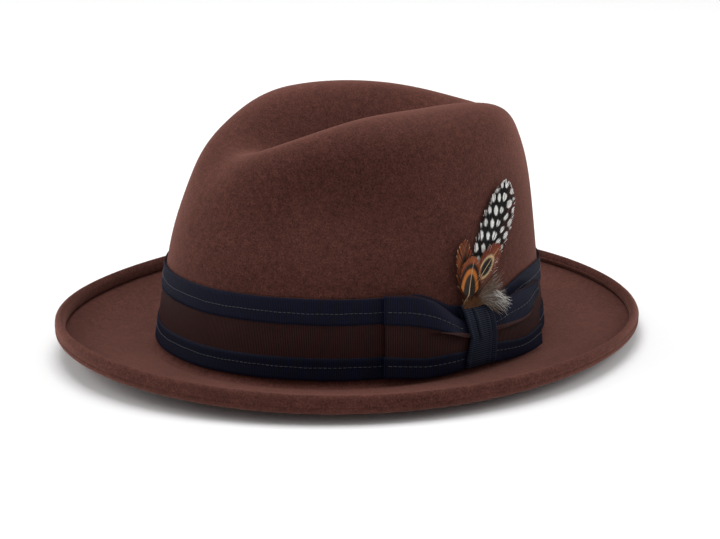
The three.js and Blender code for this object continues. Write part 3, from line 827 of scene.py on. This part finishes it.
def knot():
    """A navy ribbon wrapped once round the waist, with two tucks along it and rolled side edges."""
    low, high = 3.6, 34.4
    outline = np.array([
        (low + 1.0, 2.4), (high - 1.0, 2.4), (high - 0.2, 2.9), (high, 3.6), (high - 0.6, 5.0),
        (high - 2.8, 6.2), (high - 8, 6.8), ((low + high) / 2, 6.9), (low + 8, 6.9), (low + 3.2, 6.6),
        (low + 0.7, 5.6), (low, 4.3), (low + 0.2, 3.0),
    ])
    closed = np.concatenate([outline, outline[:1]])
    travelled = np.concatenate([[0], np.cumsum(np.hypot(*np.diff(closed, axis=0).T))])
    stations = int(travelled[-1] / KNOT_RIB * 5)
    along = np.arange(stations) * travelled[-1] / stations
    height = np.interp(along, travelled, closed[:, 0])
    out = np.interp(along, travelled, closed[:, 1])
    height, out = (smoothed(np.concatenate([line[-6:], line, line[:6]]), 13) for line in (height, out))
    half = KNOT_WIDTH / 2
    edge_steps = np.array([half - 0.4, half - 0.1, half])
    across = np.concatenate([-edge_steps[::-1], np.linspace(-half + 0.9, half - 0.9, 58), edge_steps])
    facing = ease((out - 4) / 2)[:, None]
    spot = across[None, :]
    stands = 0.5 * hump(np.abs(spot) - half + 0.8, 0.9) - 0.5 * ease((np.abs(spot) - half + 0.5) / 0.5)
    for middle, bottom, top in KNOT_TUCKS:
        here = ease((height[:, None] - bottom + 2) / 4) * ease((top + 3 - height[:, None]) / 4)
        stands = stands + (0.4 * hump(spot - middle + np.sign(middle) * 1.3, 1.0)
                           - 0.55 * hump(spot - middle, 0.34)) * here
    placed_across = knot_across(spot, height[:, None])
    surface = beside_knot(placed_across, height[:, None], out[:, None] + (stands - 0.2) * facing)
    normals = -loop_normals(surface)
    cords = (ribs(along, KNOT_RIB) * 0.14)[:, None]
    edge = np.array([0.2, 0.08] + [0] * (len(across) - 4) + [0.08, 0.2])[None, :]
    outer = surface + normals * (cords - edge)[..., None]
    inner = surface - normals * (RIBBON - edge * 0.5)[..., None]
    ribbon_solid("bow_knot", outer, inner, along[:, None], spot, "knot_ribbon", loop=True)
    for node, (middle, bottom, top) in zip(("knot_thread_front", "knot_thread_back"), KNOT_TUCKS):
        def path(share, middle=middle, bottom=bottom, top=top):
            up = mix(top, bottom, share)
            front = np.interp(up, [low, low + 1, low + 4, 12, 26, high - 3, high],
                              [4.6, 5.6, 6.5, 6.8, 6.7, 6.1, 4.0])
            point = beside_knot(knot_across(middle, up), up, front - 0.25)
            return point, outward(np.full_like(up, BOW_AROUND))
        stitch_line(node, path, int((top - bottom) / TUCK_PITCH), radius=0.13)


# ---- sweatband and lining

SEAM_STITCHES = 14


def wall_sheet(node, start, stop, heights, face, depth, lean, finish):
    """A strip beside the wall with rounded long edges."""
    around = np.linspace(start, stop, COLUMNS)[:, None]
    up = heights[None, :]
    rise = (up - heights[0]) / (heights[-1] - heights[0])
    edge = edge_drop(heights)[None, :] * depth * 2
    outer = wall_point(around, up, face + lean * rise - edge)
    inner = wall_point(around, up, face - depth + lean * rise + edge)
    ribbon_solid(node, outer, inner, around * MEAN_RADIUS, up, finish)


def sweatband():
    face = -FELT - 1.0
    wall_sheet("sweatband_leather", math.pi + 0.25 * DEGREE, 3 * math.pi - 0.25 * DEGREE,
               rows_across(0.3, 38, 16), face, 1.0, -0.8, "sweat_leather")
    wall_sheet("sweatband_tape", 0.0, 2 * math.pi * (1 - 1 / 720), rows_across(0.4, 9, 5), -FELT - 0.3,
               0.35, 0, "tape")
    turn = np.linspace(0, 2 * np.pi, 12, endpoint=False)
    reed = [wall_point(AROUND, -0.85 + 0.8 * math.sin(t), face - 0.4 + 0.8 * math.cos(t)) for t in turn]
    revolved("sweatband_reed", reed, "tape")
    thread_face = face - 1.0 - 0.15

    def around_band(share):
        around = mix(184 * DEGREE, 536 * DEGREE, share)
        return wall_point(around, 2.85 + 0.08 * np.sin(around * 30), thread_face), -outward(around)

    stitch_line("sweatband_thread", around_band, 210, radius=0.2)

    def up_seam(share):
        up = mix(16, 36, share)
        turns = share * SEAM_STITCHES
        zigzag = 0.9 * np.where(turns.astype(int) % 2 == 0, 1, -1) * np.abs(turns % 1 - 0.5) * 2
        around = math.pi + zigzag / WALL_RADIUS
        return wall_point(around, up, thread_face - 0.5), -outward(around)

    stitch_line("sweatband_seam_thread", up_seam, SEAM_STITCHES, radius=0.2, cover=0.95)
    small_bow(thread_face)


def small_bow(thread_face):
    """The little flat satin bow that covers the sweatband's seam at the back."""
    half, height = 11, 9
    across = np.linspace(-half, half, 61)[:, None]
    spread = np.linspace(-0.5, 0.5, 15)[None, :]
    tall = 3.2 + 5.5 * ease(np.abs(across) / 22 * 5)
    puff = 0.55 * (1 - (2 * spread) ** 2) * ease(np.abs(across) / 4) + 0.5
    ripple = 0.18 * np.cos(spread * 26) * hump(np.abs(across) - 3, 3)
    middle = thread_face - 1.4
    inner, outer = (wall_point(math.pi + across / WALL_RADIUS, height + spread * tall, middle + off)
                    for off in (-puff - ripple, puff * 0.5))
    ribbon_solid("sweatband_bow", outer, inner, across, spread * 9, "satin")


def lining():
    """A gathered satin side band, an oval tip, the piping on their seam and a clear shield."""
    cloth = 0.35
    deep = FELT + 0.4
    third = along_at(BAND_HIGH)
    seam = mix(third, 1, 5 / 9)
    gap = 0.004
    pleats = 0.22 * np.sin(AROUND * 64) + 0.16 * np.sin(AROUND * 41 + 1)

    def sheet(node, places, depth, thickness, finish="satin", closed=True):
        faces = []
        for at in (depth, depth + thickness):
            gathers = [0 if closed else float(ease((along - third * 0.7) / 0.2)) for along in places]
            faces.append([crown_point(along, AROUND, at + (pleats + 0.35) * share)
                          for along, share in zip(places, gathers)])
        if not closed:
            return revolved(node, faces[0] + faces[1][::-1], finish)
        top = blocked(*open_crown(1.0), np.array(0.0))
        poles = np.stack([top - [0, 0, at * TOP_DEEPER] for at in (depth, depth + thickness)])
        return revolved(node, faces[0][::-1] + faces[1], finish, poles)

    side_start = mix(along_at(BAND_LOW), third, 0.66)
    side = sheet("lining_side", np.linspace(side_start, seam - gap, 36), deep, cloth, closed=False)
    sheet("lining_tip", np.linspace(seam + gap, TIP, 30), deep, cloth)
    shield_start = mix(third, 1, 6 / 9)
    sheet("lining_shield", np.linspace(shield_start, TIP, 24), deep + cloth + 0.7, 0.3, "clear_vinyl")
    turn = np.linspace(0, 2 * np.pi, 10, endpoint=False)
    middle = deep + cloth + 1
    cord = [crown_point(seam + 0.0045 * math.cos(t), AROUND, middle + 0.6 * math.sin(t)) for t in turn]
    revolved("lining_piping", cord, "satin")
    return side


# ---- feathers


class Strands:
    """Collects many tapering three-sided strands into one mesh with painted colours."""

    def __init__(self):
        self.points, self.faces, self.tints, self.count = [], [], [], 0

    def add(self, line, out, width, depth, tint):
        """line is (rings, 3); out, width and tint are given for every ring."""
        rings = len(line)
        forward = unit(np.gradient(line, axis=0))
        side = unit(np.cross(forward, out))
        lift = unit(np.cross(side, forward))
        half = (np.asarray(width) / 2)[:, None]
        rise = np.minimum(half, depth)
        ring = np.stack([line - side * half, line + lift * rise, line + side * half], axis=1)
        start = self.count
        self.points.append(ring.reshape(-1, 3))
        self.faces.append(grid_faces(rings, 3, False, True) + start)
        self.faces.append([start + 2, start + 1, start])
        self.faces.append([start + (rings - 1) * 3 + j for j in range(3)])
        self.tints.append(np.repeat(tint, 3, axis=0))
        self.count += rings * 3

    def grown(self, node, finish):
        piece(node, np.concatenate(self.points), self.faces, finish, body="feather_trim",
              tint=np.concatenate(self.tints))


def placed(flat_line, stand):
    """Points beside the knot from (across, height) pairs and their stand-off, with outward directions."""
    point = beside_knot(flat_line[:, 0], flat_line[:, 1], stand)
    return point, outward(BOW_AROUND + flat_line[:, 0] / WALL_RADIUS)


QUILL_OUT = 1.6
BINDING_HIGH = 20
KNOT_TOP = 35.5
BARB_END = 0.22
BARB_REACH = 34
BARB_TILT = 0.25


def walked(directions, stride):
    """The path from (0, 0) that takes one stride in each direction."""
    return np.concatenate([[[0, 0]], np.cumsum(directions[:-1] * stride, axis=0)])


class Feather:
    """A quill that rises behind the knot and bends over to its own layer, with barbs on both sides."""

    def __init__(self, foot, base, above, tip, out, bow):
        """foot and base are places across the knot, and the base lies above the knot's top."""
        self.foot = np.array([foot, BINDING_HIGH + 0.3])
        self.base = np.array([base, KNOT_TOP + above])
        self.tip = np.array(tip, float)
        self.out, self.bow = out, bow
        self.strands = Strands()
        run = self.tip - self.base
        self.length = float(np.hypot(*run))
        self.forward = run / self.length
        self.side = np.array([self.forward[1], -self.forward[0]])

    def shaft(self, share):
        share = np.asarray(share)[:, None]
        sway = self.bow * np.sin(np.pi * share)
        return self.base + (self.tip - self.base) * share + self.side * sway

    def stand(self, flat_line):
        rise = ease((flat_line[:, 1] - KNOT_TOP + 2) / 7)
        arch = 0.003 * flat_line[:, 0] ** 2 * rise
        return mix(QUILL_OUT, self.out, rise) + arch

    def quill(self, colour, width):
        lower = np.linspace(0, 1, 8)[:-1, None]
        lower = self.foot + (self.base - self.foot) * lower
        upper = self.shaft(np.linspace(0, 0.94, 22))
        flat_line = np.concatenate([lower, upper])
        point, out = placed(flat_line, self.stand(flat_line) + 0.3)
        size = np.linspace(width, 0.16, len(flat_line))
        self.strands.add(point, out, size, 0.35, np.tile(colour, (len(flat_line), 1)))

    def barbs(self, count, outline, colour, angle, width=0.6, fray=0.05, start=0.02, rings=15):
        """Barbs that run on until they meet the vane's outline: half its width at shares of its length."""
        shares, widths = np.array(outline, float).T
        march = np.linspace(0, BARB_REACH, 171)
        stride = march[1] - march[0]
        for sign in (-1, 1):
            for i in range(count):
                share = start + (0.97 - start) * (i + 0.5) / count
                lean = mix(*angle, share) * DEGREE + random.normal(0, fray * 0.5)
                bend = lean * (1 - 0.4 * (march / 26) ** 0.8) + random.normal(0, fray) * (march / 20) ** 2
                travel = walked(self.forward * np.cos(bend)[:, None]
                                + self.side * (sign * np.sin(bend))[:, None], stride)
                onward = share + travel @ self.forward / self.length
                limit = np.interp(onward, shares, widths, right=0) * random.uniform(0.87, 1.05)
                stop = max(int(np.argmax(np.abs(travel @ self.side) >= limit)), 4)
                steps = np.linspace(0, 1, rings)
                reach = steps * march[stop]
                travel = np.stack([np.interp(reach, march, travel[:, k]) for k in (0, 1)], axis=-1)
                flat_line = self.shaft([share]) + travel
                lateral = travel @ self.side
                layer = 0.05 * (i % 3) + random.uniform(0, 0.05)
                point, out = placed(flat_line, self.stand(flat_line) + layer - 0.006 * lateral ** 2)
                tilt = unit(out + BARB_TILT * sign * np.cross(unit(np.gradient(point, axis=0)), out))
                size = mix(width, BARB_END, steps ** 1.6)
                tint = colour(lateral, share * self.length + travel @ self.forward, steps, i)
                self.strands.add(point, tilt, size, 0.12, tint)

    def grown(self, node, finish, quill, *barbs, **shape):
        """Quill and barbs as one piece."""
        self.quill(*quill)
        self.barbs(*barbs, **shape)
        self.strands.grown(node, finish)


def painted(base, *layers):
    """Blends colours over a base by their weights, each over the ones before."""
    colour = base[None, :]
    for weight, over in layers:
        colour = colour + (over - colour) * np.clip(weight, 0, 1)[:, None]
    return colour


GUINEA_BLACK = rgb(11, 8, 7)
GUINEA_WHITE = rgb(250, 249, 246)


def guinea():
    """A guinea fowl feather: white drops on black in staggered rows, with white-edged barbs."""
    made = Feather(-2.5, -3, 1, (30, 88.5), 1.6, bow=2.2)
    column, row = 3.9, 6.7

    def colour(lateral, onward, steps, i):
        column_number = np.round(lateral / column)
        shift = np.where(np.mod(column_number, 2) == 1, row / 2, 0) + np.abs(lateral) * 0.5
        beside = lateral - column_number * column
        beyond = np.mod(onward - shift + row / 2, row) - row / 2
        size = 1 + 0.12 * np.sin(column_number * 2.3 + np.floor((onward - shift) / row + 0.5) * 1.7)
        drop = (beside / 1.35) ** 2 + (beyond / 1.95) ** 2
        white = ease((1.1 * size ** 2 - drop) / 0.3)
        edge = ease((steps - 0.86) / 0.1) * (np.mod(onward, row) < row * 0.45) * (i % 3 != 0)
        return painted(GUINEA_BLACK, (np.maximum(white, edge), GUINEA_WHITE))

    outline = [(0, 1.5), (0.1, 3.5), (0.2, 6), (0.35, 8.6), (0.5, 10), (0.65, 10.5), (0.78, 9.6),
               (0.88, 7.6), (0.95, 5.2), (1, 2.6), (1.03, 0)]
    made.quill(rgb(46, 38, 32), 0.6)
    made.barbs(130, outline, colour, angle=(50, 16), width=0.62, start=0.05, rings=26)
    for share in np.arange(16) / 15:
        start = np.array([mix(11.5, 17, share) + random.uniform(-0.4, 0.4), mix(40, 57, share)])
        wisp(made.strands, start, random.uniform(0.5, 1.1), random.uniform(2.2, 3.4), 6, 2.6,
             (GUINEA_BLACK, GUINEA_WHITE), 0.2, 0.5)
    made.strands.grown("feather_guinea", "guinea_feather")


RUST, GOLD, CREAM = rgb(150, 72, 32), rgb(204, 122, 46), rgb(226, 196, 150)
BLACKISH, UMBER = rgb(22, 15, 12), rgb(62, 40, 27)


def pheasant_left():
    """The rust feather on the left, with a black streak and a few pale loose barbs."""
    made = Feather(-7, -5.5, 1, (-2.6, 65), 2.9, bow=-1.6)

    def colour(lateral, onward, steps, i):
        base = mix(RUST, UMBER, 0.35 + 0.35 * math.sin(i * 2.3))
        streak = hump(lateral + 0.6 - 0.08 * (onward - 14), 1.8)
        streak = streak * ease((onward - 3) / 4) * ease((24 - onward) / 4)
        gold = hump(lateral + 3, 1.6) * ease((onward - 10) / 5) * 0.5 * (i % 3 > 0)
        dark = ease((steps - 0.35) / 0.2) * (i % 5 == 1)
        pale = ease((steps - 0.85) / 0.1) * (i % 7 == 0)
        return painted(base, (gold, rgb(190, 100, 40)), (streak, BLACKISH), (dark, BLACKISH), (pale, CREAM))

    outline = [(0, 2.5), (0.15, 4.6), (0.4, 5.6), (0.65, 5.6), (0.85, 4.4), (0.95, 2.6), (1, 1), (1.02, 0)]
    made.grown("feather_pheasant_left", "pheasant_feather", (UMBER, 0.9), 62, outline, colour,
               angle=(40, 12), width=0.55, fray=0.16)


def pheasant_right():
    """The feather on the right: a black heart inside a cream outline, with red-brown tips."""
    made = Feather(-4, -4.5, 2.5, (18, 59.5), 4.0, bow=-0.8)

    def colour(lateral, onward, steps, i):
        base = mix(rgb(138, 64, 38), UMBER, 0.2 + 0.2 * math.sin(i * 1.9))
        heart = np.hypot(lateral / 3.0, (onward - 17.5) / 6.2)
        outline = hump(heart - 1.0, 0.14)
        inside = ease((1.0 - heart) / 0.15)
        low = ease((11 - onward) / 5)
        return painted(base, (low, UMBER), (inside, BLACKISH), (outline, CREAM))

    outline = [(0, 2), (0.15, 4), (0.4, 5.6), (0.65, 6), (0.85, 5), (0.95, 3.2), (1, 1.4), (1.03, 0)]
    made.grown("feather_pheasant_right", "pheasant_feather", (CREAM, 0.7), 70, outline, colour,
               angle=(42, 12), fray=0.06, rings=18)


def pheasant_middle():
    """The feather in front: cream shaft, dark heart, a golden arch round it and a black band outside."""
    made = Feather(-5.5, -6.2, 0.5, (-0.6, 57), 5.1, bow=-0.5)

    def colour(lateral, onward, steps, i):
        base = mix(RUST, UMBER, 0.2 + 0.15 * math.sin(i * 2.1))
        reach = np.hypot(lateral / 3.8, np.maximum(onward - 5.5, 0) / 8.4)
        arch = np.hypot(lateral / 5.4, np.maximum(onward - 5.5, 0) / 10.5)
        crescent = ease((reach - 0.92) / 0.12) * ease((1.06 - arch) / 0.1)
        black = ease((arch - 0.98) / 0.12) * ease((1.32 - arch) / 0.12)
        inside = ease((1.0 - reach) / 0.12)
        fringe = ease((arch - 1.3) / 0.1)
        low = ease((4 - onward) / 3)
        return painted(base, (black, BLACKISH), (crescent, GOLD), (inside, rgb(40, 29, 21)),
                       (fringe, rgb(156, 82, 40)), (low, rgb(92, 54, 30)))

    outline = [(0, 2.5), (0.12, 4.6), (0.35, 6.4), (0.6, 6.9), (0.8, 5.8), (0.92, 3.8), (1, 1.6), (1.03, 0)]
    made.grown("feather_pheasant_middle", "pheasant_feather", (CREAM, 0.9), 70, outline, colour,
               angle=(46, 14), fray=0.04, rings=24)


def wisp(strands, start, angle, reach, rings, lift, tints, curl=0.0, width=0.24):
    """One loose barb of down from a place beside the knot, with its colours from root to end."""
    steps = np.linspace(0, 1, rings)
    turn = angle - curl * steps + random.normal(0, 0.22) * steps ** 2 + 0.12 * np.sin(steps * 9 + reach * 7)
    flat_line = start + walked(np.stack([np.cos(turn), np.sin(turn)], axis=-1), reach / (rings - 1))
    point, out = placed(flat_line, lift + 1.2 * steps + bow_stand(flat_line[:, 0]) * steps)
    tint = mix(*tints, (steps ** 0.8)[:, None])
    strands.add(point, out, mix(width, 0.09, steps), 0.08, tint)


DOWN_STRANDS = 300
STRAY_STRANDS = 26
FLUFF_STRANDS = 280


def down():
    """Loose grey down that fans out from the quills, over the back loop of the bow."""
    strands = Strands()
    beige, grey, white = rgb(96, 72, 56), rgb(134, 116, 100), rgb(232, 230, 226)
    for _ in range(DOWN_STRANDS):
        spread = random.uniform(0, 1)
        angle = mix(66, -38, spread) * DEGREE
        reach = mix(12.5, 17.5, ease(abs(spread - 0.45) * 2)) * random.uniform(0.4, 1.0)
        start = np.array([random.uniform(-1, 6), KNOT_TOP + random.uniform(-1.2, 3.0) + 1.5 * (1 - spread)])
        tone = mix(beige, grey, random.uniform(0, 1))
        end_tone = mix(tone, white, random.uniform(0, 1) ** 4 * ease(spread * 1.6))
        wisp(strands, start, angle, reach, 12, 6.1 + random.uniform(0, 1.5), (tone, end_tone), 0.3)
    for _ in range(STRAY_STRANDS):
        start = np.array([random.uniform(7, 13), random.uniform(34, 40)])
        wisp(strands, start, random.uniform(-58, -18) * DEGREE, random.uniform(6, 10), 9,
             7.6 + random.uniform(0, 1), (mix(grey, white, 0.6), white), 0.1, 0.3)
    fluff = rgb(92, 60, 40), rgb(140, 96, 62)
    for _ in range(FLUFF_STRANDS):
        start = np.array([random.uniform(-9.5, 6), KNOT_TOP - random.uniform(0.5, 2.2)])
        tone = mix(*fluff, random.uniform(0, 1))
        wisp(strands, start, random.uniform(10, 160) * DEGREE, random.uniform(2, 5.5), 7,
             5.4 + random.uniform(0, 1.2), (tone, tone))
    strands.grown("feather_down", "down")


def binding():
    """Tape wound round the quills where they sit behind the knot."""
    sides, rows = 40, 61
    around = np.linspace(0, 2 * np.pi, sides, endpoint=False)[:, None]
    up = np.linspace(0, 1, rows)[None, :]
    turns = 0.1 * np.abs(np.sin(np.pi * (up * 7 + around / (2 * np.pi)))) ** 0.5
    wide = np.sign(np.cos(around)) * np.abs(np.cos(around)) ** 0.5 * (4.35 + turns)
    deep = np.sign(np.sin(around)) * np.abs(np.sin(around)) ** 0.5 * (0.2 + turns)
    points = beside_knot(-4 + wide, 10.2 + up * 9.6, 1.85 + deep)
    ends = [[i * rows for i in range(sides)], [i * rows + rows - 1 for i in range(sides)][::-1]]
    piece("feather_binding", points, [grid_faces(sides, rows, True), *ends], "tape", body="feather_trim")


# ---- stage


def stage():
    """A plain pale floor, large soft lights and the camera."""
    mesh = bpy.data.meshes.new("floor")
    reach = 30
    corners = [(-reach, -reach, 0), (reach, -reach, 0), (reach, reach, 0), (-reach, reach, 0)]
    mesh.from_pydata(corners, [], [(0, 1, 2, 3)])
    made = Finish("floor", Specular_IOR_Level=0.0, Roughness=1.0, Base_Color=(0.93, 0.93, 0.93, 1))
    mesh.materials.append(made.material)
    floor = added("floor", mesh)

    world = bpy.data.worlds.new("studio")
    bpy.context.scene.world = world
    world.use_nodes = True
    background = world.node_tree.nodes["Background"].inputs
    background["Color"].default_value = (1, 1, 1, 1)
    background["Strength"].default_value = 0.4
    middle = Vector((0, 0, 0.05))
    lights = {"overhead": ((-0.3, 0.0, 1.9), 1.3, 23), "left": ((-1.0, -1.35, 0.95), 1.2, 15),
              "right": ((0.65, 1.6, 1.0), 1.2, 14)}
    for name, (place, size, power) in lights.items():
        light = bpy.data.lights.new(name, "AREA")
        light.shape = "SQUARE"
        light.size = size
        light.energy = power
        lamp = added(name, light)
        lamp.location = place
        lamp.rotation_euler = (middle - lamp.location).to_track_quat("-Z", "Y").to_euler()

    azimuth, elevation, distance, aim = 60 * DEGREE, 14.78 * DEGREE, 1.2, Vector((0, 0, 0.0573))
    back = Vector((math.sin(azimuth) * math.cos(elevation), -math.cos(azimuth) * math.cos(elevation),
                   math.sin(elevation)))
    camera = bpy.data.cameras.new("camera")
    camera.lens = 118.2
    camera.sensor_width = 36
    camera.shift_x = 0.0117
    camera.shift_y = -0.0589
    eye = added("camera", camera)
    eye.location = aim + back * distance
    eye.rotation_euler = (-back).to_track_quat("-Z", "Y").to_euler()
    bpy.context.scene.camera = eye
    bpy.context.scene.view_settings.view_transform = "Standard"


stage()
felt_body()
hatband()
bow()
knot()
sweatband()
lining_side = lining()
guinea()
pheasant_left()
pheasant_right()
pheasant_middle()
down()
binding()
